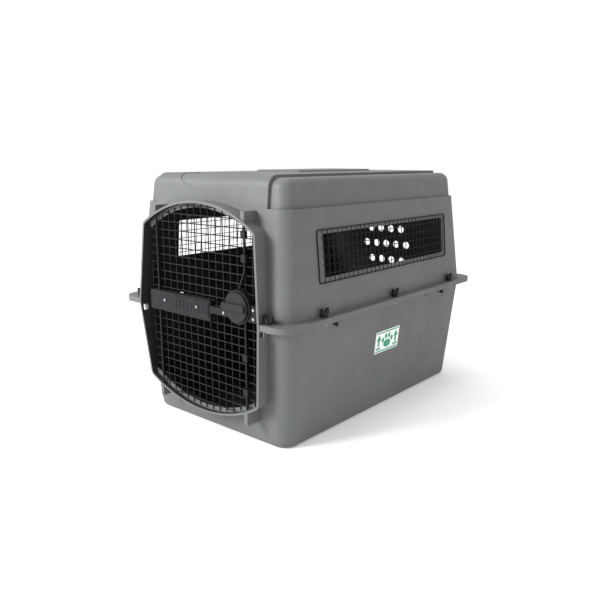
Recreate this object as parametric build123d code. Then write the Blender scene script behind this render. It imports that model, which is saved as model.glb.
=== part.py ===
"""Rigid two-shell pet transport carrier with a welded wire door and a dial latch.

Millimetres, +Z up. The door faces -Y. Every piece is drawn about the centre of the
shells' split line in plan, and moved once, at export, so that the origin is the
bottom centre of the whole carrier.
"""
import os
from math import atan2, cos, hypot, radians, sin, sqrt

from build123d import *

# ---------------------------------------------------------------- shells
WALL = 3.6
SPLIT_Z = 331.0            # height of the joint between the two shells
SPLIT_WIDTH = 590.0
SPLIT_LENGTH = 874.0
BASE_WIDTH = 516.0
BASE_LENGTH = 836.0
BASE_CENTRE_Y = 12.0       # the back wall stands nearly upright, the front one leans
ROOF_Z = 684.0
ROOF_WIDTH = 526.0
ROOF_LENGTH = 812.0
CORNER_RADIUS = 42.0
BASE_EDGE_RADIUS = 14.0
ROOF_EDGE_RADIUS = 30.0

SHOULDER_Z = 605.0         # the shoulders step in above this height
SHOULDER_INSET = 8.0
SHOULDER_DROP = 7.0        # shoulders end this far under the roof
CAP_HALF_WIDTH = 208.0     # the raised middle band that runs over the roof
CAP_REAR_Y = 370.0
PLATEAU_WIDTH = 172.0
PLATEAU_FRONT_Y = -157.0
PLATEAU_REAR_Y = 200.0
PLATEAU_HEIGHT = 6.0
PLATEAU_CHAMFER = 7.0
PLATEAU_FOOT_RADIUS = 10.0
PLATEAU_TOP_RADIUS = 6.0
STRAP_POCKET = (34.0, 12.0, 4.0)
STRAP_POCKET_Y = -128.0
ROOF_RIB_COUNT = 4
ROOF_RIB_PITCH = 34.0
ROOF_RIB = (96.0, 9.0, 1.6)
TONGUE_HALF_WIDTH = 122.0  # shallow tongue-shaped recess over the front edge of the roof
TONGUE_DEPTH = 42.0
TONGUE_SINK = 1.6
TONGUE_BACK_Y = -330.0

REAR_FOOT_Y = 414.0        # the back wall steps in near the floor
REAR_FOOT_Z = 60.0

# ---------------------------------------------------------------- flange
FLANGE_SIDE_OVERHANG = 22.0
FLANGE_END_OVERHANG = 34.0
FLANGE_THICKNESS = 7.5     # of each shell
FLANGE_CORNER_RADIUS = 45.0
FLARE_HEIGHT = 10.0        # the lower wall flares out to the flange on the long sides
FLARE_ROOT = 3.0
POCKETS = (                # three-cornered pockets in the wall: y0, y1, z0, z1
    (-282.0, -240.0, 298.0, 318.0),
    (163.0, 208.0, 310.0, 320.0),
    (271.0, 316.0, 299.0, 311.0),
)
POCKET_DEPTH = 10.0

# ---------------------------------------------------------------- flange fasteners
BOLT_DIAMETER = 6.0
BOLT_HEAD_DIAMETER = 12.0
BOLT_HEAD_HEIGHT = 5.0
SIDE_BOLT_OUT = 8.0        # bolt centre lines beyond the walls at the split
END_BOLT_OUT = 18.0
SIDE_BOLT_YS = (-311.0, 12.0, 332.0)
FRONT_BOLT_X = 247.0
REAR_BOLT_X = 200.0
HOLE_CLEARANCE = 0.3
WASHER_DIAMETER = 13.0
WASHER_THICKNESS = 1.0
NUT_HUB_DIAMETER = 16.0
NUT_HUB_HEIGHT = 15.0
NUT_BORE_DEPTH = 12.0
NUT_SPAN = 28.0
NUT_WING_THICKNESS = 6.0
NUT_WING_HEIGHT = 22.0
NUT_WING_FOOT = 1.0        # underside of the wings at the hub
NUT_WING_TIP = 9.0         # underside of the wings at the tips
NUT_WING_CREST = 9.0       # the tips' tops start this far from the axis
NUT_EDGE_RADIUS = 1.0

# ---------------------------------------------------------------- door surround
LIP_Y = -472.5             # front of the surround at the split
LIP_TOP_Y = -459.0         # it leans back to these at the crowns of the arches
LIP_BOTTOM_Y = -454.0
SURROUND_HALF_SPLIT = 230.5
SURROUND_HALF_END = 211.0  # half width where the sides meet the arches
ARCH_TOP_Z = 616.0
ARCH_TOP_END_Z = 550.0
ARCH_BOTTOM_Z = 59.5
ARCH_BOTTOM_END_Z = 120.0
ARCH_CORNER_RADIUS = 18.0
LIP_BEAD = 2.5
LIP_BEAD_DEPTH = 4.0
SURROUND_BACK_Y = -405.0
TUNNEL_BACK_Y = -376.0
LEDGE_WIDTH = 12.0         # ledge that the door closes against
LEDGE_THICKNESS = 4.0
TIE_SLOT = (14.0, 16.0)
TIE_SLOT_Y = -457.0
TIE_SLOT_Z = 312.0
TIE_SLOT_REACH = 10.0

# ---------------------------------------------------------------- door
ROD_DIAMETER = 6.0
ROD_Y = -451.0             # plane of the hinge rod and both latch rods
HINGE_X = -167.0
LATCH_X = 168.0
BOSS_WIDTH = 12.0
BOSS_TOP_Z = 600.0
BOSS_BOTTOM_Z = 63.0
BOSS_SKIN = 3.0
DOOR_WIRE = 2.8
DOOR_MARGIN = 4.0          # between the wire ends and the surround
DOOR_COLUMN_PITCH = 26.0
DOOR_ROW_PITCH = 22.5
WING_MARGIN = 3.0          # the strip left of the hinge swings in past the ledge
DOOR_SEAT_GAP = 0.5

# ---------------------------------------------------------------- latch
DIAL_X = 149.5
DIAL_Z = 367.0
DIAL_RADIUS = 38.0
DIAL_THICKNESS = 6.0
DIAL_EDGE_RADIUS = 2.5
GRIP_HEIGHT = 19.0
GRIP_RISE = 6.0
GRIP_CORNER_RADIUS = 4.5
GRIP_POINTER = 8.0         # the grip runs past the disc on the left
STUB_DIAMETER = 8.0
DIAL_SKIN = 2.0            # left in front of the cam's key and the stub shaft
RUN_GAP = 0.3
CAM_RADIUS = 37.0
CAM_THICKNESS = 5.5
CAM_KEY = 14.0
CAM_KEY_HEIGHT = 4.5
PIN_DIAMETER = 4.0
PIN_SLOT_CLEARANCE = 0.8
PIN_DEPTH = 5.2            # how far the pins reach into the cam
LATCH_TRAVEL = 16.0
DIAL_TURN = 90.0
UPPER_PIN_RISE = 16.0      # upper pin above the dial's axis when unlatched
LOWER_PIN_DROP = 6.0       # lower pin below it
ROD_END_GAP = 3.0          # unlatched rods end this far inside the surround
UPPER_BEND_TOP = 91.0      # heights above the dial's axis
UPPER_BEND_BOTTOM = 46.0
BEND_RADIUS = 16.0
HOUSING_WALL = 5.0
HOUSING_FRONT_Y = -461.5
BAR_LEFT_X = -199.0
BAR_RIGHT_X = 46.5
BAR_BOTTOM_Z = 315.0
BAR_TOP_Z = 368.0
BAR_CORNER_RADIUS = 5.0
BAR_FRONT_Y = -457.5
ARM_HALF_HEIGHT = 9.0
ARM_Z = 345.5
LUG_REACH = 62.0
LUG_BOTTOM_Z = 335.0
LUG_TOP_Z = 377.0
PLATE_THICKNESS = 4.0
WIRE_GAP = 0.2
BADGE_LEFT_X = -95.0
BADGE_RIGHT_X = 42.0
BADGE_BOTTOM_Z = 321.5
BADGE_TOP_Z = 363.0
BADGE_THICKNESS = 2.0
BADGE_CORNER_RADIUS = 4.0
BADGE_RIB_COUNT = 9
BADGE_RIB = (3.2, 24.0, 0.8)
GUIDE = (16.0, 18.0)
GUIDE_EDGE_RADIUS = 2.5
GUIDE_FRONT_Y = -457.5
GUIDE_ZS = (545.0, 488.0, 240.0, 150.0)
SCREW_DIAMETER = 4.0
SCREW_HEAD_DIAMETER = 7.5
SCREW_HEAD_HEIGHT = 2.0
DIAL_WASHER_DIAMETER = 18.0
DIAL_WASHER_THICKNESS = 1.2
DIAL_SCREW_HEAD = 9.0
DIAL_SCREW_HEAD_HEIGHT = 3.0
DIAL_SCREW_LENGTH = 14.0

# ---------------------------------------------------------------- side grilles
WINDOW_FRONT_Y = -288.0
WINDOW_REAR_Y = 308.0
WINDOW_BOTTOM_Z = 432.0
WINDOW_TOP_Z = 541.0
GRILLE_FRONT_Y = -312.0
GRILLE_REAR_Y = 325.0
GRILLE_BOTTOM_Z = 420.0
GRILLE_TOP_Z = 551.0
GRILLE_FRAME_WIRE = 3.2
GRILLE_WIRE = 2.2
GRILLE_COLUMN_PITCH = 20.0
GRILLE_ROWS = 5
GRILLE_CORNER_RADIUS = 6.0
LEG_LENGTH = 9.0
LEG_INSET = 60.0
LEG_HOLE_CLEARANCE = 0.6
PUSH_NUT_DIAMETER = 11.0
PUSH_NUT_THICKNESS = 1.0

# ---------------------------------------------------------------- rear vents and label
VENT_DIAMETER = 25.0
VENT_PITCH = 41.0
VENT_ROWS = ((542.0, 3), (479.0, 4), (424.5, 5), (367.0, 4))
LABEL_WIDTH = 121.0
LABEL_HEIGHT = 65.0
LABEL_CORNER_RADIUS = 2.0
LABEL_THICKNESS = 0.5
LABEL_Y = 9.0
LABEL_Z = 208.0

# ---------------------------------------------------------------- worked out once
FLANGE_TOP_Z = SPLIT_Z + FLANGE_THICKNESS
FLANGE_BOTTOM_Z = SPLIT_Z - FLANGE_THICKNESS
FLANGE_HALF_WIDTH = SPLIT_WIDTH / 2 + FLANGE_SIDE_OVERHANG
FLANGE_HALF_LENGTH = SPLIT_LENGTH / 2 + FLANGE_END_OVERHANG
NUT_BASE_Z = FLANGE_TOP_Z + WASHER_THICKNESS
ROD_RADIUS = ROD_DIAMETER / 2
ROW_Y = ROD_Y + ROD_RADIUS + DOOR_WIRE / 2
COLUMN_Y = ROW_Y + DOOR_WIRE
DOOR_BACK_Y = COLUMN_Y + DOOR_WIRE / 2
PLATE_FRONT_Y = DOOR_BACK_Y + WIRE_GAP
PLATE_BACK_Y = PLATE_FRONT_Y + PLATE_THICKNESS
LEDGE_FRONT_Y = DOOR_BACK_Y + DOOR_SEAT_GAP
CLAMP_Y = ROD_Y + ROD_RADIUS - WIRE_GAP       # back of what lies on the door's front
CAM_BACK_Y = ROD_Y - ROD_RADIUS - 2 * RUN_GAP
CAM_FRONT_Y = CAM_BACK_Y - CAM_THICKNESS
DIAL_BACK_Y = HOUSING_FRONT_Y - RUN_GAP
DIAL_FRONT_Y = DIAL_BACK_Y - DIAL_THICKNESS
GRIP_FRONT_Y = DIAL_FRONT_Y - GRIP_RISE
STUB_END_Y = PLATE_BACK_Y + RUN_GAP
GRILLE_HALF_LENGTH = (GRILLE_REAR_Y - GRILLE_FRONT_Y) / 2
GRILLE_HALF_HEIGHT = (GRILLE_TOP_Z - GRILLE_BOTTOM_Z) / 2
GRILLE_FRAME_RISE = GRILLE_FRAME_WIRE / 2 + WIRE_GAP      # wire centre above the wall
TO_ORIGIN_Y = (-GRIP_FRONT_Y - FLANGE_HALF_LENGTH) / 2


def upper_half_width(z):
    """Half width of the upper shell's outside at height z."""
    share = (z - SPLIT_Z) / (ROOF_Z - SPLIT_Z)
    return (SPLIT_WIDTH + (ROOF_WIDTH - SPLIT_WIDTH) * share) / 2


def lower_half_width(z):
    """Half width of the lower shell's outside at height z."""
    share = z / SPLIT_Z
    return (BASE_WIDTH + (SPLIT_WIDTH - BASE_WIDTH) * share) / 2


def rounded_loft(sections):
    """Ruled loft through (width, length, radius, centre y, z) rounded rectangles."""
    faces = [Pos(0, y, z) * RectangleRounded(w, l, r) for w, l, r, y, z in sections]
    return loft(faces, ruled=True)


def upper_hull(inset, top_z, edge_radius):
    """The upper shell's tapering form, drawn in by inset, with a rounded roof edge."""
    share = (top_z - SPLIT_Z) / (ROOF_Z - SPLIT_Z)
    top_width = SPLIT_WIDTH + (ROOF_WIDTH - SPLIT_WIDTH) * share - 2 * inset
    top_length = SPLIT_LENGTH + (ROOF_LENGTH - SPLIT_LENGTH) * share - 2 * inset
    radius = CORNER_RADIUS - inset
    form = rounded_loft([
        (SPLIT_WIDTH - 2 * inset, SPLIT_LENGTH - 2 * inset, radius, 0, SPLIT_Z),
        (top_width, top_length, radius, 0, top_z),
    ])
    return fillet(form.faces().sort_by(Axis.Z)[-1].edges(), edge_radius)


def lower_hull(inset, bottom_z, edge_radius):
    """The lower shell's tapering form, drawn in by inset, with a rounded floor edge."""
    share = bottom_z / SPLIT_Z
    low_width = BASE_WIDTH + (SPLIT_WIDTH - BASE_WIDTH) * share - 2 * inset
    low_length = BASE_LENGTH + (SPLIT_LENGTH - BASE_LENGTH) * share - 2 * inset
    radius = CORNER_RADIUS - inset
    form = rounded_loft([
        (low_width, low_length, radius, BASE_CENTRE_Y * (1 - share), bottom_z),
        (SPLIT_WIDTH - 2 * inset, SPLIT_LENGTH - 2 * inset, radius, 0, SPLIT_Z),
    ])
    return fillet(form.faces().sort_by(Axis.Z)[0].edges(), edge_radius)


def block(x0, x1, y0, y1, z0, z1):
    """A box between two corners."""
    return Pos((x0 + x1) / 2, (y0 + y1) / 2, (z0 + z1) / 2) * Box(x1 - x0, y1 - y0, z1 - z0)


def along_y(sketch, front_y, back_y):
    """Extrude a sketch drawn in X and Z between two depths."""
    plane = Plane(origin=(0, back_y, 0), x_dir=(1, 0, 0), z_dir=(0, -1, 0))
    return extrude(plane * sketch, back_y - front_y)


def disc_y(x, z, radius, front_y, back_y):
    """A round piece whose axis lies along Y."""
    return along_y(Pos(x, z) * Circle(radius), front_y, back_y)


def upright(x, y, radius, z0, z1):
    """A vertical round bar."""
    return Pos(x, y, (z0 + z1) / 2) * Cylinder(radius, z1 - z0)


def crosswise(y, z, radius, x0, x1):
    """A round bar along X."""
    return Pos((x0 + x1) / 2, y, z) * Rot(0, 90, 0) * Cylinder(radius, x1 - x0)


# ---------------------------------------------------------------- surround geometry
def arch(end_z, crown_z):
    """Radius and centre height of an arch of the surround."""
    rise = abs(crown_z - end_z)
    radius = (SURROUND_HALF_END ** 2 + rise ** 2) / (2 * rise)
    centre = crown_z - radius if crown_z > end_z else crown_z + radius
    return radius, centre


TOP_ARCH_RADIUS, TOP_ARCH_CENTRE = arch(ARCH_TOP_END_Z, ARCH_TOP_Z)
BOTTOM_ARCH_RADIUS, BOTTOM_ARCH_CENTRE = arch(ARCH_BOTTOM_END_Z, ARCH_BOTTOM_Z)


def top_z(x, inset):
    """Height of the upper arch over x, drawn in by inset."""
    return TOP_ARCH_CENTRE + sqrt((TOP_ARCH_RADIUS - inset) ** 2 - x ** 2)


def bottom_z(x, inset):
    """Height of the lower arch under x, drawn in by inset."""
    return BOTTOM_ARCH_CENTRE - sqrt((BOTTOM_ARCH_RADIUS - inset) ** 2 - x ** 2)


def side_x(z, inset):
    """Half width of the surround's straight sides at height z, drawn in by inset."""
    end_z = ARCH_TOP_END_Z if z > SPLIT_Z else ARCH_BOTTOM_END_Z
    share = (z - SPLIT_Z) / (end_z - SPLIT_Z)
    return SURROUND_HALF_SPLIT + (SURROUND_HALF_END - SURROUND_HALF_SPLIT) * share - inset


def reach_x(z, inset):
    """Half width inside the sides and both arches at height z."""
    reach = side_x(z, inset)
    if z > ARCH_TOP_END_Z - inset:
        over = (TOP_ARCH_RADIUS - inset) ** 2 - (z - TOP_ARCH_CENTRE) ** 2
        reach = min(reach, sqrt(max(over, 0)))
    if z < ARCH_BOTTOM_END_Z + inset:
        under = (BOTTOM_ARCH_RADIUS - inset) ** 2 - (z - BOTTOM_ARCH_CENTRE) ** 2
        reach = min(reach, sqrt(max(under, 0)))
    return reach


def surround_outline(grow):
    """Barrel outline of the door surround in X and Z, grown by grow."""
    top_left = (-SURROUND_HALF_END, ARCH_TOP_END_Z)
    top_right = (SURROUND_HALF_END, ARCH_TOP_END_Z)
    low_right = (SURROUND_HALF_END, ARCH_BOTTOM_END_Z)
    low_left = (-SURROUND_HALF_END, ARCH_BOTTOM_END_Z)
    edges = [
        Polyline(low_left, (-SURROUND_HALF_SPLIT, SPLIT_Z), top_left),
        ThreePointArc(top_left, (0, ARCH_TOP_Z), top_right),
        Polyline(top_right, (SURROUND_HALF_SPLIT, SPLIT_Z), low_right),
        ThreePointArc(low_right, (0, ARCH_BOTTOM_Z), low_left),
    ]
    face = make_face(edges)
    corners = [v for v in face.vertices() if abs(v.Y - SPLIT_Z) > FLANGE_THICKNESS]
    face = fillet(corners, ARCH_CORNER_RADIUS)
    return offset(face, grow) if grow else face


def behind_lip(step):
    """Everything behind the leaning front of the lip, moved back by step."""
    high = 2 * ARCH_TOP_Z - SPLIT_Z
    low = 2 * ARCH_BOTTOM_Z - SPLIT_Z
    side_view = make_face(Polyline(
        (2 * LIP_BOTTOM_Y - LIP_Y + step, low), (LIP_Y + step, SPLIT_Z),
        (2 * LIP_TOP_Y - LIP_Y + step, high), (SURROUND_BACK_Y, high), (SURROUND_BACK_Y, low),
        close=True))
    reach = SURROUND_HALF_SPLIT + 2 * LIP_BEAD
    plane = Plane(origin=(-reach, 0, 0), x_dir=(0, 1, 0), z_dir=(1, 0, 0))
    return extrude(plane * side_view, 2 * reach)


def surround_solid():
    """Outer form of the surround with its bead and the four rod bosses."""
    form = along_y(surround_outline(0), LIP_Y, SURROUND_BACK_Y) & behind_lip(0)
    bead = along_y(surround_outline(LIP_BEAD), LIP_Y, SURROUND_BACK_Y) & behind_lip(0)
    form += bead - behind_lip(LIP_BEAD_DEPTH)
    half = BOSS_WIDTH / 2
    front = ROD_Y - ROD_RADIUS - BOSS_SKIN
    for x in (HINGE_X, LATCH_X):
        form += block(x - half, x + half, front, SURROUND_BACK_Y, SPLIT_Z, BOSS_TOP_Z)
        form += block(x - half, x + half, front, SURROUND_BACK_Y, BOSS_BOTTOM_Z, SPLIT_Z)
    return form


def tunnel():
    """The clear way through the surround."""
    return along_y(surround_outline(-WALL), LIP_Y - WALL, TUNNEL_BACK_Y)


def ledge():
    """The ledge along both arches that the door's wires close against."""
    ring = surround_outline(-WALL / 2) - surround_outline(-WALL - LEDGE_WIDTH)
    band = along_y(ring, LEDGE_FRONT_Y, LEDGE_FRONT_Y + LEDGE_THICKNESS)
    reach = SURROUND_HALF_SPLIT + WALL
    middle = block(-reach, reach, LIP_Y, SURROUND_BACK_Y,
                   ARCH_BOTTOM_END_Z + LEDGE_WIDTH, ARCH_TOP_END_Z - LEDGE_WIDTH)
    return band - middle


def rod_holes(upper):
    """Blind holes in the bosses for the hinge rod and a latch rod."""
    radius = ROD_RADIUS + HOLE_CLEARANCE
    holes = []
    for x in (HINGE_X, LATCH_X):
        if upper:
            holes.append(upright(x, ROD_Y, radius, top_z(x, 2 * WALL), BOSS_TOP_Z - BOSS_SKIN))
        else:
            holes.append(upright(x, ROD_Y, radius, BOSS_BOTTOM_Z + BOSS_SKIN, bottom_z(x, 2 * WALL)))
    return holes


def flange(z0, z1):
    """Rounded flange plate round the split."""
    plate = RectangleRounded(2 * FLANGE_HALF_WIDTH, 2 * FLANGE_HALF_LENGTH, FLANGE_CORNER_RADIUS)
    return extrude(Pos(0, 0, z0) * plate, z1 - z0)


def bolt_places():
    """(x, y, turn) of each flange bolt; turn sets the wing nut along the flange."""
    side_x_place = SPLIT_WIDTH / 2 + SIDE_BOLT_OUT
    end_y_place = SPLIT_LENGTH / 2 + END_BOLT_OUT
    places = [(side * side_x_place, y, 90) for side in (-1, 1) for y in SIDE_BOLT_YS]
    places += [(side * FRONT_BOLT_X, -end_y_place, 0) for side in (-1, 1)]
    places += [(side * REAR_BOLT_X, end_y_place, 0) for side in (-1, 1)]
    return places


def on_wall(half_width, z_low, z_high, y, z):
    """Plane on the right long wall: local x along +Y, local y up the wall."""
    lean = atan2(half_width(z_low) - half_width(z_high), z_high - z_low)
    return Plane(origin=(half_width(z), y, z), x_dir=(0, 1, 0), z_dir=(cos(lean), 0, sin(lean)))


WINDOW_PLANE = on_wall(upper_half_width, SPLIT_Z, ROOF_Z,
                       (GRILLE_FRONT_Y + GRILLE_REAR_Y) / 2, (GRILLE_BOTTOM_Z + GRILLE_TOP_Z) / 2)
LABEL_PLANE = on_wall(lower_half_width, 0, SPLIT_Z, LABEL_Y, LABEL_Z)


def both_sides(shape):
    """The shape and its mirror image on the left."""
    return [shape, mirror(shape, about=Plane.YZ)]


def leg_places():
    """Local places of each grille's six bent legs on its frame wire."""
    reach = GRILLE_HALF_LENGTH - LEG_INSET
    rows = (-GRILLE_HALF_HEIGHT, GRILLE_HALF_HEIGHT)
    return [(x, y) for x in (-reach, 0, reach) for y in rows]


def window_cut():
    """Window opening and square leg holes through the right wall."""
    centre_y = (WINDOW_FRONT_Y + WINDOW_REAR_Y - GRILLE_FRONT_Y - GRILLE_REAR_Y) / 2
    centre_z = (WINDOW_BOTTOM_Z + WINDOW_TOP_Z - GRILLE_BOTTOM_Z - GRILLE_TOP_Z) / 2
    opening = RectangleRounded(WINDOW_REAR_Y - WINDOW_FRONT_Y, WINDOW_TOP_Z - WINDOW_BOTTOM_Z,
                               GRILLE_CORNER_RADIUS)
    cut = WINDOW_PLANE * Pos(centre_y, centre_z, -3 * WALL) * extrude(opening, 6 * WALL)
    side = GRILLE_FRAME_WIRE + LEG_HOLE_CLEARANCE
    for x, y in leg_places():
        cut += WINDOW_PLANE * Pos(x, y, 0) * Box(side, side, 6 * WALL)
    return cut


def roof_details():
    """Plateau with its grooves and strap pockets."""
    length = PLATEAU_REAR_Y - PLATEAU_FRONT_Y
    middle_y = (PLATEAU_REAR_Y + PLATEAU_FRONT_Y) / 2
    foot = Pos(0, middle_y, ROOF_Z - WALL / 2) * RectangleRounded(
        PLATEAU_WIDTH, length, PLATEAU_FOOT_RADIUS)
    top = Pos(0, middle_y, ROOF_Z + PLATEAU_HEIGHT) * RectangleRounded(
        PLATEAU_WIDTH - 2 * PLATEAU_CHAMFER, length - 2 * PLATEAU_CHAMFER, PLATEAU_TOP_RADIUS)
    plateau = loft([foot, top], ruled=True)
    pocket_x = PLATEAU_WIDTH / 2 - PLATEAU_CHAMFER - STRAP_POCKET[1]
    for side in (-1, 1):
        pocket = Box(STRAP_POCKET[1], STRAP_POCKET[0], 2 * STRAP_POCKET[2])
        plateau -= Pos(side * pocket_x, STRAP_POCKET_Y, ROOF_Z + PLATEAU_HEIGHT) * pocket
    first_y = middle_y - ROOF_RIB_PITCH * (ROOF_RIB_COUNT - 1) / 2
    for index in range(ROOF_RIB_COUNT):
        groove = Box(ROOF_RIB[0], ROOF_RIB[1], 2 * ROOF_RIB[2])
        plateau -= Pos(0, first_y + index * ROOF_RIB_PITCH, ROOF_Z + PLATEAU_HEIGHT) * groove
    return plateau


def tongue():
    """What the tongue-shaped recess takes off the roof's front edge."""
    shape = Pos(0, ROOF_Z) * Ellipse(TONGUE_HALF_WIDTH, TONGUE_DEPTH)
    prism = along_y(shape, -SPLIT_LENGTH / 2, TONGUE_BACK_Y)
    return prism - upper_hull(TONGUE_SINK, ROOF_Z - TONGUE_SINK, ROOF_EDGE_RADIUS)


def vents():
    """Staggered round vents through the back wall."""
    holes = []
    for z, count in VENT_ROWS:
        for index in range(count):
            x = (index - (count - 1) / 2) * VENT_PITCH
            holes.append(disc_y(x, z, VENT_DIAMETER / 2, CAP_REAR_Y, SPLIT_LENGTH / 2 + WALL))
    return holes


def top_shell():
    """Upper half: walls, roof, upper surround, flange, window openings and vents."""
    far = SPLIT_LENGTH
    cap_box = block(-CAP_HALF_WIDTH, CAP_HALF_WIDTH, -far, CAP_REAR_Y, SPLIT_Z, ROOF_Z + far)
    cap_room = block(-CAP_HALF_WIDTH + WALL, CAP_HALF_WIDTH - WALL, -far, CAP_REAR_Y - WALL,
                     SPLIT_Z, ROOF_Z + far)
    hull = upper_hull(0, ROOF_Z, ROOF_EDGE_RADIUS)
    shoulder_top = ROOF_Z - SHOULDER_DROP
    body = hull & block(-far, far, -far, far, SPLIT_Z, SHOULDER_Z)
    body += hull & cap_box
    body += upper_hull(SHOULDER_INSET, shoulder_top, ROOF_EDGE_RADIUS - WALL / 2)
    body -= tongue()
    body += roof_details()
    above = block(-far, far, -far, far, SPLIT_Z, ROOF_Z + far)
    body += surround_solid() & above
    body += flange(SPLIT_Z, FLANGE_TOP_Z)

    room_hull = upper_hull(WALL, ROOF_Z - WALL, ROOF_EDGE_RADIUS - WALL)
    room = room_hull & block(-far, far, -far, far, SPLIT_Z, SHOULDER_Z - WALL)
    room += room_hull & cap_room
    room += upper_hull(SHOULDER_INSET + WALL, shoulder_top - WALL, ROOF_EDGE_RADIUS - 2 * WALL)
    body -= room
    body -= tunnel()
    body += ledge() & above
    body -= rod_holes(upper=True)
    body -= both_sides(window_cut())
    body -= vents()
    for x, y, _ in bolt_places():
        body -= upright(x, y, BOLT_DIAMETER / 2 + HOLE_CLEARANCE, SPLIT_Z - WALL, FLANGE_TOP_Z + WALL)
    return body


def flare():
    """Wedge that carries the right wall of the lower shell out to the flange."""
    z0 = FLANGE_BOTTOM_Z - FLARE_HEIGHT
    inner = SPLIT_WIDTH / 2 - WALL
    profile = make_face(Polyline((inner, z0 - FLARE_ROOT), (lower_half_width(z0), z0),
                                 (FLANGE_HALF_WIDTH, FLANGE_BOTTOM_Z), (inner, FLANGE_BOTTOM_Z),
                                 close=True))
    reach = SPLIT_LENGTH / 2 - CORNER_RADIUS
    return along_y(profile, -reach, reach)


def pockets(grow):
    """The right wall's pockets, or with grow the skin that closes them inside."""
    pieces = []
    for y0, y1, z0, z1 in POCKETS:
        triangle = make_face(Polyline((y0 - grow, z1 + grow), (y1 + grow, z1 + grow),
                                      (y1 + grow, z0 - grow), close=True))
        depth_x = lower_half_width(z0) - POCKET_DEPTH - grow
        plane = Plane(origin=(depth_x, 0, 0), x_dir=(0, 1, 0), z_dir=(1, 0, 0))
        pieces.append(extrude(plane * triangle, FLANGE_HALF_WIDTH - depth_x))
    return pieces


def bottom_shell():
    """Lower half: tub with the lower surround, flange, flare and bolt pockets."""
    far = SPLIT_LENGTH
    body = lower_hull(0, 0, BASE_EDGE_RADIUS)
    body -= block(-far, far, REAR_FOOT_Y, far, -far, REAR_FOOT_Z)
    below = block(-far, far, -far, far, -far, SPLIT_Z)
    body += surround_solid() & below
    body += flange(FLANGE_BOTTOM_Z, SPLIT_Z)
    for wedge in both_sides(flare()):
        body += wedge
    room = lower_hull(WALL, WALL, BASE_EDGE_RADIUS - WALL)
    room -= block(-far, far, REAR_FOOT_Y - WALL, far, -far, REAR_FOOT_Z + WALL)
    body -= room
    mid_wall = lower_hull(WALL / 2, 0, BASE_EDGE_RADIUS)
    for skin in pockets(WALL):
        body += both_sides(skin & mid_wall)
    for hollow in pockets(0):
        body -= both_sides(hollow)
    body -= tunnel()
    body += ledge() & below
    body -= rod_holes(upper=False)
    slot = block(SURROUND_HALF_SPLIT - TIE_SLOT_REACH, SURROUND_HALF_SPLIT + TIE_SLOT_REACH,
                 TIE_SLOT_Y - TIE_SLOT[0] / 2, TIE_SLOT_Y + TIE_SLOT[0] / 2,
                 TIE_SLOT_Z - TIE_SLOT[1] / 2, TIE_SLOT_Z + TIE_SLOT[1] / 2)
    body -= both_sides(slot)
    seat = BOLT_HEAD_DIAMETER / 2 + HOLE_CLEARANCE
    seat_bottom = FLANGE_BOTTOM_Z - BOLT_HEAD_HEIGHT - HOLE_CLEARANCE
    for x, y, _ in bolt_places():
        body -= upright(x, y, BOLT_DIAMETER / 2 + HOLE_CLEARANCE, FLANGE_BOTTOM_Z - WALL, SPLIT_Z + WALL)
        body -= block(x - seat, x + seat, y - seat, y + seat, seat_bottom, FLANGE_BOTTOM_Z)
    return body


# ---------------------------------------------------------------- flange fasteners
def flange_bolts():
    """Round-headed bolts, up through both flanges."""
    bolts = []
    for x, y, _ in bolt_places():
        bolt = upright(x, y, BOLT_DIAMETER / 2, FLANGE_BOTTOM_Z, NUT_BASE_Z + NUT_BORE_DEPTH)
        bolt += upright(x, y, BOLT_HEAD_DIAMETER / 2, FLANGE_BOTTOM_Z - BOLT_HEAD_HEIGHT, FLANGE_BOTTOM_Z)
        bolts.append(bolt)
    return bolts


def flange_washers():
    """One flat washer under each wing nut."""
    washers = []
    for x, y, _ in bolt_places():
        ring = upright(x, y, WASHER_DIAMETER / 2, FLANGE_TOP_Z, NUT_BASE_Z)
        washers.append(ring - upright(x, y, BOLT_DIAMETER / 2, FLANGE_TOP_Z, NUT_BASE_Z))
    return washers


def wing_nuts():
    """Chunky moulded wing nuts with closed tops on the flange bolts."""
    hub = Pos(0, 0, NUT_HUB_HEIGHT / 2) * Cylinder(NUT_HUB_DIAMETER / 2, NUT_HUB_HEIGHT)
    hub = fillet(hub.edges().group_by(Axis.Z)[-1], NUT_EDGE_RADIUS)
    wing = make_face(Polyline(
        (0, NUT_WING_FOOT), (NUT_HUB_DIAMETER / 2, NUT_WING_FOOT), (NUT_SPAN / 2, NUT_WING_TIP),
        (NUT_SPAN / 2, NUT_WING_HEIGHT), (NUT_WING_CREST, NUT_WING_HEIGHT),
        (0, NUT_BORE_DEPTH), close=True))
    right = along_y(wing, -NUT_WING_THICKNESS / 2, NUT_WING_THICKNESS / 2)
    nut = hub + right + mirror(right, about=Plane.YZ)
    nut -= Pos(0, 0, NUT_BORE_DEPTH / 2) * Cylinder(BOLT_DIAMETER / 2, NUT_BORE_DEPTH)
    return [Pos(x, y, NUT_BASE_Z) * Rot(0, 0, turn) * nut for x, y, turn in bolt_places()]


# ---------------------------------------------------------------- side grilles
def grille_frame_right():
    """Frame wire of the right grille with its six legs, on the wall's own plane."""
    path = RectangleRounded(2 * GRILLE_HALF_LENGTH, 2 * GRILLE_HALF_HEIGHT, GRILLE_CORNER_RADIUS).wire()
    section = Plane(origin=path @ 0, z_dir=path % 0) * Circle(GRILLE_FRAME_WIRE / 2)
    frame = Pos(0, 0, GRILLE_FRAME_RISE) * sweep(section, path=path)
    for x, y in leg_places():
        leg = Cylinder(GRILLE_FRAME_WIRE / 2, LEG_LENGTH)
        frame += Pos(x, y, GRILLE_FRAME_RISE - LEG_LENGTH / 2) * leg
    return [WINDOW_PLANE * frame]


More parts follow.
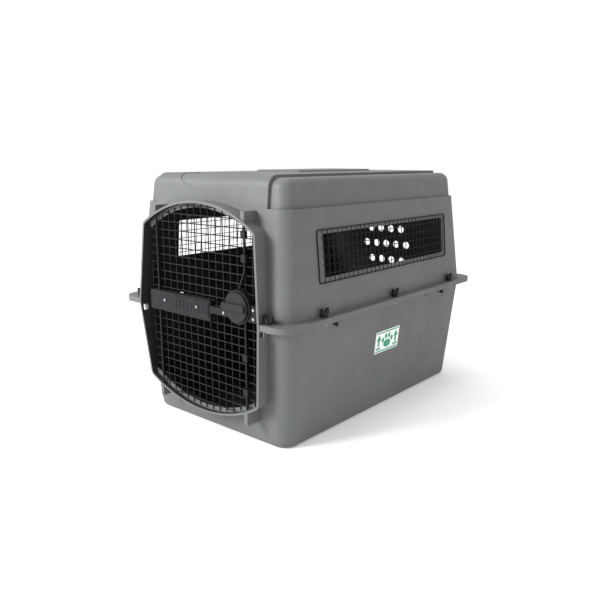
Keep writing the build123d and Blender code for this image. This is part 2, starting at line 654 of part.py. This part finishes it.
def grille_right():
    """Upright wires on the right grille's frame, with the long wires behind them."""
    radius = GRILLE_WIRE / 2
    column_rise = GRILLE_FRAME_RISE + GRILLE_FRAME_WIRE / 2 + radius
    row_rise = column_rise - GRILLE_WIRE
    count = int(2 * GRILLE_HALF_LENGTH // GRILLE_COLUMN_PITCH)
    first_x = -GRILLE_COLUMN_PITCH * (count - 1) / 2
    pieces = []
    for index in range(1, GRILLE_ROWS + 1):
        y = 2 * GRILLE_HALF_HEIGHT * index / (GRILLE_ROWS + 1) - GRILLE_HALF_HEIGHT
        pieces.append(Pos(0, y, row_rise) * Rot(0, 90, 0) * Cylinder(radius, -2 * first_x))
    for index in range(count):
        x = first_x + index * GRILLE_COLUMN_PITCH
        pieces.append(Pos(x, 0, column_rise) * Rot(90, 0, 0) * Cylinder(radius, 2 * GRILLE_HALF_HEIGHT))
    return [WINDOW_PLANE * piece for piece in pieces]


def push_nuts_right():
    """Push-on retainers on the grille's legs, inside the wall."""
    nuts = []
    for x, y in leg_places():
        ring = Cylinder(PUSH_NUT_DIAMETER / 2, PUSH_NUT_THICKNESS)
        ring -= Cylinder(GRILLE_FRAME_WIRE / 2, 2 * PUSH_NUT_THICKNESS)
        nuts.append(WINDOW_PLANE * Pos(x, y, -WALL - WIRE_GAP - PUSH_NUT_THICKNESS / 2) * ring)
    return nuts


def shipping_label():
    """Thin blank label on the right wall of the lower shell."""
    film = RectangleRounded(LABEL_WIDTH, LABEL_HEIGHT, LABEL_CORNER_RADIUS)
    return LABEL_PLANE * extrude(film, LABEL_THICKNESS)


# ---------------------------------------------------------------- door
def door_wires():
    """Rows in front, columns behind, each cut to the barrel shape."""
    inset = WALL + DOOR_MARGIN
    wing_inset = WALL + LEDGE_WIDTH + WING_MARGIN
    radius = DOOR_WIRE / 2
    wires = []
    count = int(ARCH_TOP_Z / DOOR_ROW_PITCH)
    for index in range(-count, count):
        z = DIAL_Z + DOOR_ROW_PITCH * (index + 0.5)
        if not ARCH_BOTTOM_Z + inset + radius < z < ARCH_TOP_Z - inset - radius:
            continue
        right = reach_x(z, inset)
        left = min(right, max(reach_x(z, wing_inset), -HINGE_X + ROD_RADIUS))
        wires.append(crosswise(ROW_Y, z, radius, -left, right))
    count = int(SURROUND_HALF_SPLIT / DOOR_COLUMN_PITCH)
    for index in range(-2 * count, count):
        x = DIAL_X + DOOR_COLUMN_PITCH * (index + 0.5)
        edge = inset if x > HINGE_X - ROD_RADIUS else wing_inset
        if abs(x) > SURROUND_HALF_SPLIT - edge - radius:
            continue
        low = bottom_z(x, edge)
        high = top_z(x, edge)
        spare = SURROUND_HALF_SPLIT - edge - abs(x)
        slope = (SURROUND_HALF_SPLIT - SURROUND_HALF_END) / (ARCH_TOP_END_Z - SPLIT_Z)
        high = min(high, SPLIT_Z + spare / slope)
        slope = (SURROUND_HALF_SPLIT - SURROUND_HALF_END) / (SPLIT_Z - ARCH_BOTTOM_END_Z)
        low = max(low, SPLIT_Z - spare / slope)
        wires.append(upright(x, COLUMN_Y, radius, low, high))
    return wires


def hinge_rod():
    """Plain rod welded to the rows, turning in the left bosses."""
    return upright(HINGE_X, ROD_Y, ROD_RADIUS, BOSS_BOTTOM_Z + BOSS_SKIN + RUN_GAP,
                   BOSS_TOP_Z - BOSS_SKIN - 2 * RUN_GAP)


def rod_guides():
    """Moulded guides on the door that the latch rods slide in."""
    guides = []
    for z in GUIDE_ZS:
        body = block(LATCH_X - GUIDE[0] / 2, LATCH_X + GUIDE[0] / 2, GUIDE_FRONT_Y, CLAMP_Y,
                     z - GUIDE[1] / 2, z + GUIDE[1] / 2)
        body = fillet(body.edges().filter_by(Axis.Z).group_by(Axis.Y)[0], GUIDE_EDGE_RADIUS)
        body -= upright(LATCH_X, ROD_Y, ROD_RADIUS + HOLE_CLEARANCE, z - GUIDE[1], z + GUIDE[1])
        guides.append(body)
    return guides


def upper_latch_rod():
    """Upper rod, drawn back: under its boss, and bent in to its pin on the cam."""
    top = top_z(LATCH_X, WALL) - ROD_END_GAP
    pin_z = DIAL_Z + UPPER_PIN_RISE
    points = [(LATCH_X, ROD_Y, top), (LATCH_X, ROD_Y, DIAL_Z + UPPER_BEND_TOP),
              (DIAL_X, ROD_Y, DIAL_Z + UPPER_BEND_BOTTOM), (DIAL_X, ROD_Y, pin_z - ROD_RADIUS)]
    path = FilletPolyline(*points, radius=BEND_RADIUS)
    rod = sweep(Plane(origin=points[0], z_dir=(0, 0, -1)) * Circle(ROD_RADIUS), path=path)
    return rod + disc_y(DIAL_X, pin_z, PIN_DIAMETER / 2, CAM_BACK_Y - PIN_DEPTH, ROD_Y)


def lower_latch_rod():
    """Lower rod, drawn back: straight, with its pin at the top."""
    low = bottom_z(LATCH_X, WALL) + ROD_END_GAP
    pin_z = DIAL_Z - LOWER_PIN_DROP
    rod = upright(LATCH_X, ROD_Y, ROD_RADIUS, low, pin_z + ROD_RADIUS)
    return rod + disc_y(LATCH_X, pin_z, PIN_DIAMETER / 2, CAM_BACK_Y - PIN_DEPTH, ROD_Y)


# ---------------------------------------------------------------- latch
def screw_places():
    """Screws through gaps of the mesh, counted in pitches from the dial's axis."""
    steps = ((-11, -1), (-6, -1), (-2, -1), (2, 0), (2, -1))
    return [(DIAL_X + i * DOOR_COLUMN_PITCH, DIAL_Z + j * DOOR_ROW_PITCH) for i, j in steps]


def latch_outline():
    """Bar, arm, round and lug of the latch, in X and Z."""
    bar = Pos((BAR_LEFT_X + BAR_RIGHT_X) / 2, (BAR_BOTTOM_Z + BAR_TOP_Z) / 2) * RectangleRounded(
        BAR_RIGHT_X - BAR_LEFT_X, BAR_TOP_Z - BAR_BOTTOM_Z, BAR_CORNER_RADIUS)
    arm = Pos((BAR_RIGHT_X + DIAL_X) / 2, ARM_Z) * Rectangle(
        DIAL_X - BAR_RIGHT_X + BAR_CORNER_RADIUS, 2 * ARM_HALF_HEIGHT)
    lug = Pos(DIAL_X + LUG_REACH / 2, (LUG_BOTTOM_Z + LUG_TOP_Z) / 2) * RectangleRounded(
        LUG_REACH, LUG_TOP_Z - LUG_BOTTOM_Z, BAR_CORNER_RADIUS)
    disc = Pos(DIAL_X, DIAL_Z) * Circle(DIAL_RADIUS + HOUSING_WALL)
    return bar + arm + lug + disc


def latch_housing():
    """Front half of the latch: a ring round the cam, with the bar to the left."""
    bore = DIAL_RADIUS + RUN_GAP
    body = along_y(latch_outline(), BAR_FRONT_Y, CLAMP_Y)
    body += disc_y(DIAL_X, DIAL_Z, DIAL_RADIUS + HOUSING_WALL, HOUSING_FRONT_Y, CLAMP_Y)
    body -= disc_y(DIAL_X, DIAL_Z, bore, HOUSING_FRONT_Y - WALL, CLAMP_Y + WALL)
    rod_way = ROD_RADIUS + 2 * RUN_GAP
    reach = DIAL_RADIUS + 3 * HOUSING_WALL
    slot_front = ROD_Y - ROD_RADIUS - 2 * RUN_GAP
    body -= block(DIAL_X - rod_way, DIAL_X + rod_way, slot_front, CLAMP_Y + WALL, DIAL_Z, DIAL_Z + reach)
    body -= block(LATCH_X - rod_way, LATCH_X + rod_way, slot_front, CLAMP_Y + WALL, DIAL_Z - reach, DIAL_Z)
    body -= upright(HINGE_X, ROD_Y, ROD_RADIUS, 0, ROOF_Z)
    body -= block(HINGE_X - ROD_RADIUS, HINGE_X + ROD_RADIUS, ROD_Y, CLAMP_Y + WALL, 0, ROOF_Z)
    for x, z in screw_places():
        body -= disc_y(x, z, SCREW_DIAMETER / 2, HOUSING_FRONT_Y - WALL, CLAMP_Y + WALL)
    return body


def latch_back_plate():
    """Back half, inside the mesh, that the screws draw up."""
    body = along_y(latch_outline(), PLATE_FRONT_Y, PLATE_BACK_Y)
    body -= disc_y(DIAL_X, DIAL_Z, STUB_DIAMETER / 2 + RUN_GAP, PLATE_FRONT_Y - WALL, PLATE_BACK_Y + WALL)
    for x, z in screw_places():
        body -= disc_y(x, z, SCREW_DIAMETER / 2, PLATE_FRONT_Y - WALL, PLATE_BACK_Y + WALL)
    return body


def latch_screws():
    """Screws from the front, through the mesh, into the back plate."""
    screws = []
    for x, z in screw_places():
        head = disc_y(x, z, SCREW_HEAD_DIAMETER / 2, BAR_FRONT_Y - SCREW_HEAD_HEIGHT, BAR_FRONT_Y)
        screws.append(head + disc_y(x, z, SCREW_DIAMETER / 2, BAR_FRONT_Y, PLATE_BACK_Y))
    return screws


def badge_plate():
    """Blank plate on the bar, with raised plain upright ribs."""
    middle_z = (BADGE_BOTTOM_Z + BADGE_TOP_Z) / 2
    plate = block(BADGE_LEFT_X, BADGE_RIGHT_X, BAR_FRONT_Y - BADGE_THICKNESS, BAR_FRONT_Y,
                  BADGE_BOTTOM_Z, BADGE_TOP_Z)
    plate = fillet(plate.edges().filter_by(Axis.Y), BADGE_CORNER_RADIUS)
    pitch = (BADGE_RIGHT_X - BADGE_LEFT_X) / BADGE_RIB_COUNT
    for index in range(BADGE_RIB_COUNT):
        x = BADGE_LEFT_X + (index + 0.5) * pitch
        rib = Box(BADGE_RIB[0], 2 * BADGE_RIB[2], BADGE_RIB[1])
        plate += Pos(x, BAR_FRONT_Y - BADGE_THICKNESS, middle_z) * rib
    for x, z in screw_places():
        plate -= disc_y(x, z, SCREW_HEAD_DIAMETER / 2 + RUN_GAP, BAR_FRONT_Y - 2 * WALL, BAR_FRONT_Y + WALL)
    return plate


def cam_slot(pin_x, pin_z, rise):
    """Curved slot that moves a pin straight up or down by rise as the cam turns."""
    steps = 12
    points = []
    for index in range(steps + 1):
        share = index / steps
        angle = radians(-DIAL_TURN * share)
        x = pin_x
        z = pin_z + rise * share
        points.append((x * cos(angle) - z * sin(angle), x * sin(angle) + z * cos(angle)))
    half = (PIN_DIAMETER + PIN_SLOT_CLEARANCE) / 2
    normals = []
    for index, point in enumerate(points):
        before = points[max(index - 1, 0)]
        after = points[min(index + 1, steps)]
        dx = after[0] - before[0]
        dz = after[1] - before[1]
        size = hypot(dx, dz)
        normals.append((-dz / size * half, dx / size * half))
    left = [(p[0] + n[0], p[1] + n[1]) for p, n in zip(points, normals)]
    right = [(p[0] - n[0], p[1] - n[1]) for p, n in zip(points, normals)]
    edges = [Spline(left), Line(left[-1], right[-1]), Spline(right[::-1]), Line(right[0], left[0])]
    slot = make_face(edges)
    slot += Pos(*points[0]) * Circle(half)
    slot += Pos(*points[-1]) * Circle(half)
    return Pos(DIAL_X, DIAL_Z) * slot


def latch_cam():
    """Cam disc behind the dial, with one curved slot for each rod's pin."""
    cam = disc_y(DIAL_X, DIAL_Z, CAM_RADIUS, CAM_FRONT_Y, CAM_BACK_Y)
    for slot in (cam_slot(0, UPPER_PIN_RISE, LATCH_TRAVEL),
                 cam_slot(LATCH_X - DIAL_X, -LOWER_PIN_DROP, -LATCH_TRAVEL)):
        cam -= along_y(slot, CAM_FRONT_Y - WALL, CAM_BACK_Y + WALL)
    key = Pos(DIAL_X, DIAL_Z) * Rectangle(CAM_KEY, CAM_KEY)
    cam += along_y(key, CAM_FRONT_Y - CAM_KEY_HEIGHT, CAM_BACK_Y)
    cam -= disc_y(DIAL_X, DIAL_Z, STUB_DIAMETER / 2, CAM_FRONT_Y - 2 * WALL, CAM_BACK_Y + WALL)
    return cam


def latch_dial():
    """Round turning dial with a grip bar and a stub shaft."""
    dial = disc_y(DIAL_X, DIAL_Z, DIAL_RADIUS, DIAL_FRONT_Y, DIAL_BACK_Y)
    dial = fillet(dial.edges().group_by(Axis.Y)[0], DIAL_EDGE_RADIUS)
    grip_left = DIAL_X - DIAL_RADIUS - GRIP_POINTER
    grip_right = DIAL_X + DIAL_RADIUS - 2 * DIAL_EDGE_RADIUS
    bar = Pos((grip_left + grip_right) / 2, DIAL_Z) * RectangleRounded(
        grip_right - grip_left, GRIP_HEIGHT, GRIP_CORNER_RADIUS)
    grip = along_y(bar, GRIP_FRONT_Y, DIAL_FRONT_Y + DIAL_EDGE_RADIUS)
    dial += fillet(grip.edges().group_by(Axis.Y)[0], DIAL_EDGE_RADIUS)
    key = Pos(DIAL_X, DIAL_Z) * Rectangle(CAM_KEY, CAM_KEY)
    dial -= along_y(key, CAM_FRONT_Y - CAM_KEY_HEIGHT, DIAL_BACK_Y + WALL)
    dial += disc_y(DIAL_X, DIAL_Z, STUB_DIAMETER / 2, DIAL_FRONT_Y + DIAL_SKIN, STUB_END_Y)
    dial -= disc_y(DIAL_X, DIAL_Z, SCREW_DIAMETER / 2, STUB_END_Y - DIAL_SCREW_LENGTH, STUB_END_Y)
    return dial


def dial_washer():
    """Washer that keeps the dial from pulling out of the back plate."""
    back = STUB_END_Y + DIAL_WASHER_THICKNESS
    ring = disc_y(DIAL_X, DIAL_Z, DIAL_WASHER_DIAMETER / 2, STUB_END_Y, back)
    return ring - disc_y(DIAL_X, DIAL_Z, SCREW_DIAMETER / 2, STUB_END_Y - WALL, back + WALL)


def dial_screw():
    """Screw from inside into the dial's stub shaft."""
    seat = STUB_END_Y + DIAL_WASHER_THICKNESS
    head = disc_y(DIAL_X, DIAL_Z, DIAL_SCREW_HEAD / 2, seat, seat + DIAL_SCREW_HEAD_HEIGHT)
    return head + disc_y(DIAL_X, DIAL_Z, SCREW_DIAMETER / 2, STUB_END_Y - DIAL_SCREW_LENGTH, seat)


# ---------------------------------------------------------------- export
def as_group(pieces):
    """One shape for a node: a single solid, or a compound of separate ones."""
    solids = []
    for piece in pieces if isinstance(pieces, list) else [pieces]:
        solids.extend(piece.solids())
    return solids[0] if len(solids) == 1 else Compound(children=solids)


def mirrored(pieces):
    """Mirror images of a list of pieces, on the left side."""
    return [mirror(piece, about=Plane.YZ) for piece in pieces]


NODES = {
    "top_shell": top_shell,
    "bottom_shell": bottom_shell,
    "flange_bolts": flange_bolts,
    "flange_washers": flange_washers,
    "wing_nuts": wing_nuts,
    "grille_frame_right": grille_frame_right,
    "grille_frame_left": lambda: mirrored(grille_frame_right()),
    "side_grille_right": grille_right,
    "side_grille_left": lambda: mirrored(grille_right()),
    "grille_push_nuts_right": push_nuts_right,
    "grille_push_nuts_left": lambda: mirrored(push_nuts_right()),
    "shipping_label": shipping_label,
    "door_grille": door_wires,
    "hinge_rod": hinge_rod,
    "rod_guides": rod_guides,
    "latch_housing": latch_housing,
    "latch_back_plate": latch_back_plate,
    "latch_screws": latch_screws,
    "badge_plate": badge_plate,
    "latch_cam": latch_cam,
    "latch_dial": latch_dial,
    "dial_washer": dial_washer,
    "dial_screw": dial_screw,
    "upper_latch_rod": upper_latch_rod,
    "lower_latch_rod": lower_latch_rod,
}

os.makedirs("parts", exist_ok=True)
for name, make in NODES.items():
    shape = Pos(0, TO_ORIGIN_Y, 0) * as_group(make())
    export_step(shape, f"parts/{name}.step")
    box = shape.bounding_box()
    print(f"{name:24s} solids {len(shape.solids()):3d} volume {shape.volume / 1000:9.1f} cm3 "
          f"x {box.min.X:7.1f} {box.max.X:7.1f} y {box.min.Y:7.1f} {box.max.Y:7.1f} "
          f"z {box.min.Z:7.1f} {box.max.Z:7.1f}")
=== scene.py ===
"""Looks for the pet transport carrier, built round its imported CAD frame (metres, +Z up)."""
from math import cos, pi, radians, sin

import bpy
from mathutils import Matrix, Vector


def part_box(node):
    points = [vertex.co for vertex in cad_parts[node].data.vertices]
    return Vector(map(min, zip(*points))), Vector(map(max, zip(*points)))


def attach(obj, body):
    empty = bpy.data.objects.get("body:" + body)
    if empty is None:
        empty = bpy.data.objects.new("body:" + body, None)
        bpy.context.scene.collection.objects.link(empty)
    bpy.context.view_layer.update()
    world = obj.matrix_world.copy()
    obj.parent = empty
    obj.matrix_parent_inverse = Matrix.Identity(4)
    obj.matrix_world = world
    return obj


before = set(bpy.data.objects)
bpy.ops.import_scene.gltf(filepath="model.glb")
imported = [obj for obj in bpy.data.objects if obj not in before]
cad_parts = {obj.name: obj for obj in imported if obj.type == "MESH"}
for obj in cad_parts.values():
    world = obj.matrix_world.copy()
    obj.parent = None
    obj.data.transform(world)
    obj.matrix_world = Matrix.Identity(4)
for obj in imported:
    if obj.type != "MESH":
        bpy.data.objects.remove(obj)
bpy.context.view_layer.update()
BASE_LOW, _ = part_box("bottom_shell")

# ---------------------------------------------------------------- view and light
CAMERA_PLACE = (1.251, -1.5132, 0.719)
CAMERA_YAW = radians(40.51)
CAMERA_PITCH = radians(12.40)
CAMERA_LENS = 38.37        # mm on a 36 mm wide sensor
BACKDROP_SIZE = 60.0
CABIN_CENTRE = (0.0, 0.0, 0.35)
PRINT_RISE = 0.00025       # the label's print above its film


def add_camera():
    """Camera at the photograph's viewing angle."""
    data = bpy.data.cameras.new("camera")
    data.lens = CAMERA_LENS
    data.sensor_width = 36.0
    data.clip_end = 200.0
    camera = bpy.data.objects.new("camera", data)
    camera.location = CAMERA_PLACE
    camera.rotation_euler = (pi / 2 - CAMERA_PITCH, 0, CAMERA_YAW)
    bpy.context.scene.collection.objects.link(camera)
    bpy.context.scene.camera = camera


def aim(obj, target):
    """Turn a light to face a point."""
    direction = Vector(target) - obj.location
    obj.rotation_euler = direction.to_track_quat("-Z", "Y").to_euler()


def add_area(name, place, target, size, power):
    """A soft studio light."""
    data = bpy.data.lights.new(name, "AREA")
    data.shape = "SQUARE"
    data.size = size
    data.energy = power
    light = bpy.data.objects.new(name, data)
    light.location = place
    bpy.context.scene.collection.objects.link(light)
    aim(light, target)


def add_light():
    """White surroundings, a large key from the front left and a soft top light."""
    scene = bpy.context.scene
    scene.view_settings.view_transform = "Standard"
    world = bpy.data.worlds.new("studio")
    world.use_nodes = True
    background = world.node_tree.nodes["Background"]
    background.inputs["Color"].default_value = (1, 1, 1, 1)
    background.inputs["Strength"].default_value = 1.0
    scene.world = world
    add_area("key", (-1.5, -3.4, 2.1), (0, -0.4, 0.4), 1.5, 200)
    add_area("top", (-0.4, 0.2, 3.4), (0, 0, 0.6), 1.6, 25)


def add_floor():
    """Plain pale floor, bright enough to meet the white surroundings."""
    mesh = bpy.data.meshes.new("floor")
    half = BACKDROP_SIZE / 2
    corners = [(-half, -half, 0), (half, -half, 0), (half, half, 0), (-half, half, 0)]
    mesh.from_pydata(corners, [], [(0, 1, 2, 3)])
    floor = bpy.data.objects.new("floor", mesh)
    floor.location.z = BASE_LOW[2] - 0.0005
    bpy.context.scene.collection.objects.link(floor)
    material = bpy.data.materials.new("floor_white")
    material.use_nodes = True
    shader = material.node_tree.nodes["Principled BSDF"]
    shader.inputs["Base Color"].default_value = (0.92, 0.92, 0.92, 1)
    shader.inputs["Emission Color"].default_value = (1, 1, 1, 1)
    shader.inputs["Emission Strength"].default_value = 0.10
    shader.inputs["Roughness"].default_value = 0.9
    shader.inputs["Specular IOR Level"].default_value = 0.1
    mesh.materials.append(material)


# ---------------------------------------------------------------- materials
class Nodes:
    """Short way to add and join shader nodes."""

    def __init__(self, name):
        self.material = bpy.data.materials.new(name)
        self.material.use_nodes = True
        self.tree = self.material.node_tree
        self.shader = self.tree.nodes["Principled BSDF"]

    def add(self, kind, **values):
        node = self.tree.nodes.new(kind)
        for key, value in values.items():
            if hasattr(node, key):
                setattr(node, key, value)
            else:
                node.inputs[key.replace("_", " ").title()].default_value = value
        return node

    def join(self, out, into):
        self.tree.links.new(out, into)

    def place(self):
        """Object coordinates, in metres."""
        return self.add("ShaderNodeTexCoord").outputs["Object"]

    def noise(self, scale, detail=4.0, roughness=0.55):
        node = self.add("ShaderNodeTexNoise")
        node.inputs["Scale"].default_value = scale
        node.inputs["Detail"].default_value = detail
        node.inputs["Roughness"].default_value = roughness
        self.join(self.place(), node.inputs["Vector"])
        return node.outputs["Fac"]

    def ramp(self, value, low, high, low_out, high_out):
        node = self.add("ShaderNodeMapRange")
        node.inputs["From Min"].default_value = low
        node.inputs["From Max"].default_value = high
        node.inputs["To Min"].default_value = low_out
        node.inputs["To Max"].default_value = high_out
        self.join(value, node.inputs["Value"])
        return node.outputs["Result"]

    def blend(self, factor, first, second):
        """Mix two colours, each a tuple or a socket."""
        node = self.add("ShaderNodeMix", data_type="RGBA")
        self.join(factor, node.inputs["Factor"])
        for socket, value in ((node.inputs[6], first), (node.inputs[7], second)):
            if isinstance(value, tuple):
                socket.default_value = (*value, 1)
            else:
                self.join(value, socket)
        return node.outputs[2]

    def bump(self, *layers):
        """Stack (height, strength, distance in metres) layers into the normal."""
        before = None
        for height, strength, distance in layers:
            node = self.add("ShaderNodeBump")
            node.inputs["Strength"].default_value = strength
            node.inputs["Distance"].default_value = distance
            self.join(height, node.inputs["Height"])
            if before:
                self.join(before, node.inputs["Normal"])
            before = node.outputs["Normal"]
        self.join(before, self.shader.inputs["Normal"])


    def inward_shade_mask(self):
        """1 where the surface faces the middle of the cabin, 0 elsewhere: the mask for painted shade on
        the cabin's inner faces.
        """
        node = self.add("ShaderNodeTexCoord")
        out = self.add("ShaderNodeVectorMath", operation="SUBTRACT")
        out.inputs[1].default_value = CABIN_CENTRE
        self.join(node.outputs["Object"], out.inputs[0])
        facing = self.add("ShaderNodeVectorMath", operation="DOT_PRODUCT")
        self.join(out.outputs["Vector"], facing.inputs[0])
        self.join(node.outputs["Normal"], facing.inputs[1])
        return self.ramp(facing.outputs["Value"], -0.20, -0.17, 1, 0)


def moulded_plastic(name, dark, light, roughness, grain=900.0, depth=0.00012, scuffs=True,
                    painted_inner_shade=1.0, gloss=0.45):
    """Grained injection-moulded plastic with soft mottling and fine scuffs, plus painted shade on faces
    turned to the middle of the cabin when painted_inner_shade is below 1.
    """
    n = Nodes(name)
    mottle = n.ramp(n.noise(6.0, 5.0), 0.35, 0.65, 0, 1)
    colour = n.blend(mottle, dark, light)
    speck = n.ramp(n.noise(grain * 0.6, 2.0), 0.62, 0.72, 0, 0.25)
    colour = n.blend(speck, colour, tuple(min(1, c * 1.25) for c in light))
    if scuffs:
        stretch = n.add("ShaderNodeMapping")
        stretch.inputs["Scale"].default_value = (3.0, 3.0, 60.0)
        n.join(n.place(), stretch.inputs["Vector"])
        fine = n.add("ShaderNodeTexNoise")
        fine.inputs["Scale"].default_value = 9.0
        fine.inputs["Detail"].default_value = 8.0
        n.join(stretch.outputs["Vector"], fine.inputs["Vector"])
        worn = n.ramp(fine.outputs["Fac"], 0.66, 0.74, 0, 0.22)
        colour = n.blend(worn, colour, tuple(min(1, c * 1.35) for c in light))
    # Painted shade: faces turned to the middle of the cabin are darkened in the colour, standing in for
    # the shade inside the carrier.
    if painted_inner_shade < 1:
        colour = n.blend(n.inward_shade_mask(), colour, tuple(c * painted_inner_shade for c in dark))
    n.join(colour, n.shader.inputs["Base Color"])
    n.join(n.ramp(n.noise(25.0, 6.0), 0.3, 0.7, roughness - 0.07, roughness + 0.08),
           n.shader.inputs["Roughness"])
    n.shader.inputs["Specular IOR Level"].default_value = gloss
    n.bump((n.noise(grain, 2.0, 0.6), 0.35, depth), (n.noise(14.0, 3.0), 0.12, 0.0012))
    return n.material


def coated_wire(name):
    """Black coated wire: nearly smooth, with a faint orange-peel and rubbed spots."""
    n = Nodes(name)
    rub = n.ramp(n.noise(160.0, 5.0), 0.60, 0.72, 0, 0.5)
    n.join(n.blend(rub, (0.004, 0.004, 0.005), (0.018, 0.018, 0.019)), n.shader.inputs["Base Color"])
    n.shader.inputs["Specular IOR Level"].default_value = 0.22
    n.join(n.ramp(n.noise(90.0, 4.0), 0.3, 0.7, 0.30, 0.48), n.shader.inputs["Roughness"])
    n.bump((n.noise(700.0, 2.0), 0.2, 0.0001))
    return n.material


def plated_steel(name):
    """Zinc-plated steel with a mottled, brushed surface."""
    n = Nodes(name)
    n.join(n.blend(n.noise(120.0, 5.0), (0.24, 0.24, 0.235), (0.42, 0.42, 0.43)),
           n.shader.inputs["Base Color"])
    n.shader.inputs["Metallic"].default_value = 1.0
    n.join(n.ramp(n.noise(220.0, 4.0), 0.3, 0.7, 0.28, 0.5), n.shader.inputs["Roughness"])
    n.bump((n.noise(900.0, 3.0), 0.2, 0.00008))
    return n.material


def printed_film(name, dark, light):
    """Thin printed film with a slight ripple."""
    n = Nodes(name)
    n.join(n.blend(n.ramp(n.noise(60.0, 4.0), 0.35, 0.65, 0, 1), dark, light),
           n.shader.inputs["Base Color"])
    n.join(n.ramp(n.noise(40.0, 4.0), 0.3, 0.7, 0.32, 0.45), n.shader.inputs["Roughness"])
    n.bump((n.noise(30.0, 3.0), 0.15, 0.0006), (n.noise(1400.0, 2.0), 0.1, 0.00005))
    return n.material


def wear(node, material):
    """Give a CAD node a material."""
    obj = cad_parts[node]
    if not obj.material_slots:
        obj.data.materials.append(material)
    for slot in obj.material_slots:
        slot.material = material


def add_label_print():
    """Generic green print on the label: two up arrows, plain bars and a paw."""
    low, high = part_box("shipping_label")
    corners = [vertex.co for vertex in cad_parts["shipping_label"].data.vertices]
    face_top = max(corners, key=lambda c: c.x)
    face_low = max(corners, key=lambda c: (-round(c.z, 4), c.x))
    centre_y = (low.y + high.y) / 2
    up = Vector((face_top.x - face_low.x, 0, face_top.z - face_low.z)).normalized()
    out = Vector((up.z, 0, -up.x))
    half = (high.z - low.z) / 2
    middle = Vector(((face_top.x + face_low.x) / 2, centre_y, (face_top.z + face_low.z) / 2))
    verts, faces = [], []

    def shape(points):
        """A thin raised patch through (along, up) points in shares of the half height."""
        first = len(verts)
        count = len(points)
        for rise in (0.00005, PRINT_RISE):
            for along, height in points:
                verts.append(middle + Vector((0, along * half, 0)) + up * (height * half) + out * rise)
        faces.append([first + count + i for i in range(count)])
        faces.append([first + count - 1 - i for i in range(count)])
        for i in range(count):
            j = (i + 1) % count
            faces.append([first + i, first + j, first + count + j, first + count + i])

    def oval(along, height, wide, tall):
        shape([(along + wide * cos(2 * pi * k / 24), height + tall * sin(2 * pi * k / 24))
               for k in range(24)])

    for along in (-1.35, 1.35):
        shape([(along - 0.13, -0.4), (along + 0.13, -0.4), (along + 0.13, 0.15),
               (along + 0.36, 0.15), (along, 0.72), (along - 0.36, 0.15), (along - 0.13, 0.15)])
        shape([(along - 0.36, -0.68), (along + 0.36, -0.68), (along + 0.36, -0.52), (along - 0.36, -0.52)])
    shape([(-1.76, -0.92), (1.76, -0.92), (1.76, -0.8), (-1.76, -0.8)])
    shape([(-1.76, 0.8), (1.76, 0.8), (1.76, 0.92), (-1.76, 0.92)])
    oval(0.0, -0.28, 0.56, 0.36)
    for along, height in ((-0.7, 0.1), (-0.26, 0.42), (0.26, 0.42), (0.7, 0.1)):
        oval(along, height, 0.19, 0.24)
    mesh = bpy.data.meshes.new("label_print")
    mesh.from_pydata([tuple(v) for v in verts], [], faces)
    mesh.validate()
    mesh.update()
    print_piece = bpy.data.objects.new("label_print", mesh)
    bpy.context.scene.collection.objects.link(print_piece)
    mesh.materials.append(printed_film("label_green", (0.010, 0.24, 0.12), (0.016, 0.32, 0.17)))
    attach(print_piece, "carrier")


add_camera()
add_light()
add_floor()

# The shell's inner faces get painted shade at 0.12 of the dark tone.
SHELL = moulded_plastic("shell_grey", (0.097, 0.097, 0.098), (0.111, 0.112, 0.112), 0.55, painted_inner_shade=0.12)
BLACK = moulded_plastic("black_plastic", (0.007, 0.007, 0.008), (0.012, 0.012, 0.013), 0.6, scuffs=False,
                        gloss=0.2)
LATCH = moulded_plastic("latch_grey", (0.011, 0.011, 0.012), (0.017, 0.017, 0.018), 0.6, scuffs=False,
                        gloss=0.2)
WIRE = coated_wire("black_wire")
ZINC = plated_steel("zinc")
FILM = printed_film("label_film", (0.80, 0.83, 0.81), (0.88, 0.90, 0.89))

FINISHES = {
    "top_shell": SHELL, "bottom_shell": SHELL, "flange_bolts": ZINC, "flange_washers": ZINC,
    "wing_nuts": BLACK, "grille_frame_right": WIRE, "grille_frame_left": WIRE,
    "side_grille_right": WIRE, "side_grille_left": WIRE,
    "grille_push_nuts_right": ZINC, "grille_push_nuts_left": ZINC, "shipping_label": FILM,
    "door_grille": WIRE, "hinge_rod": WIRE, "rod_guides": BLACK, "latch_housing": BLACK,
    "latch_back_plate": BLACK, "latch_screws": ZINC, "badge_plate": BLACK, "latch_cam": BLACK,
    "latch_dial": LATCH, "dial_washer": ZINC, "dial_screw": ZINC, "upper_latch_rod": WIRE,
    "lower_latch_rod": WIRE,
}
for node_name, finish in FINISHES.items():
    wear(node_name, finish)

add_label_print()
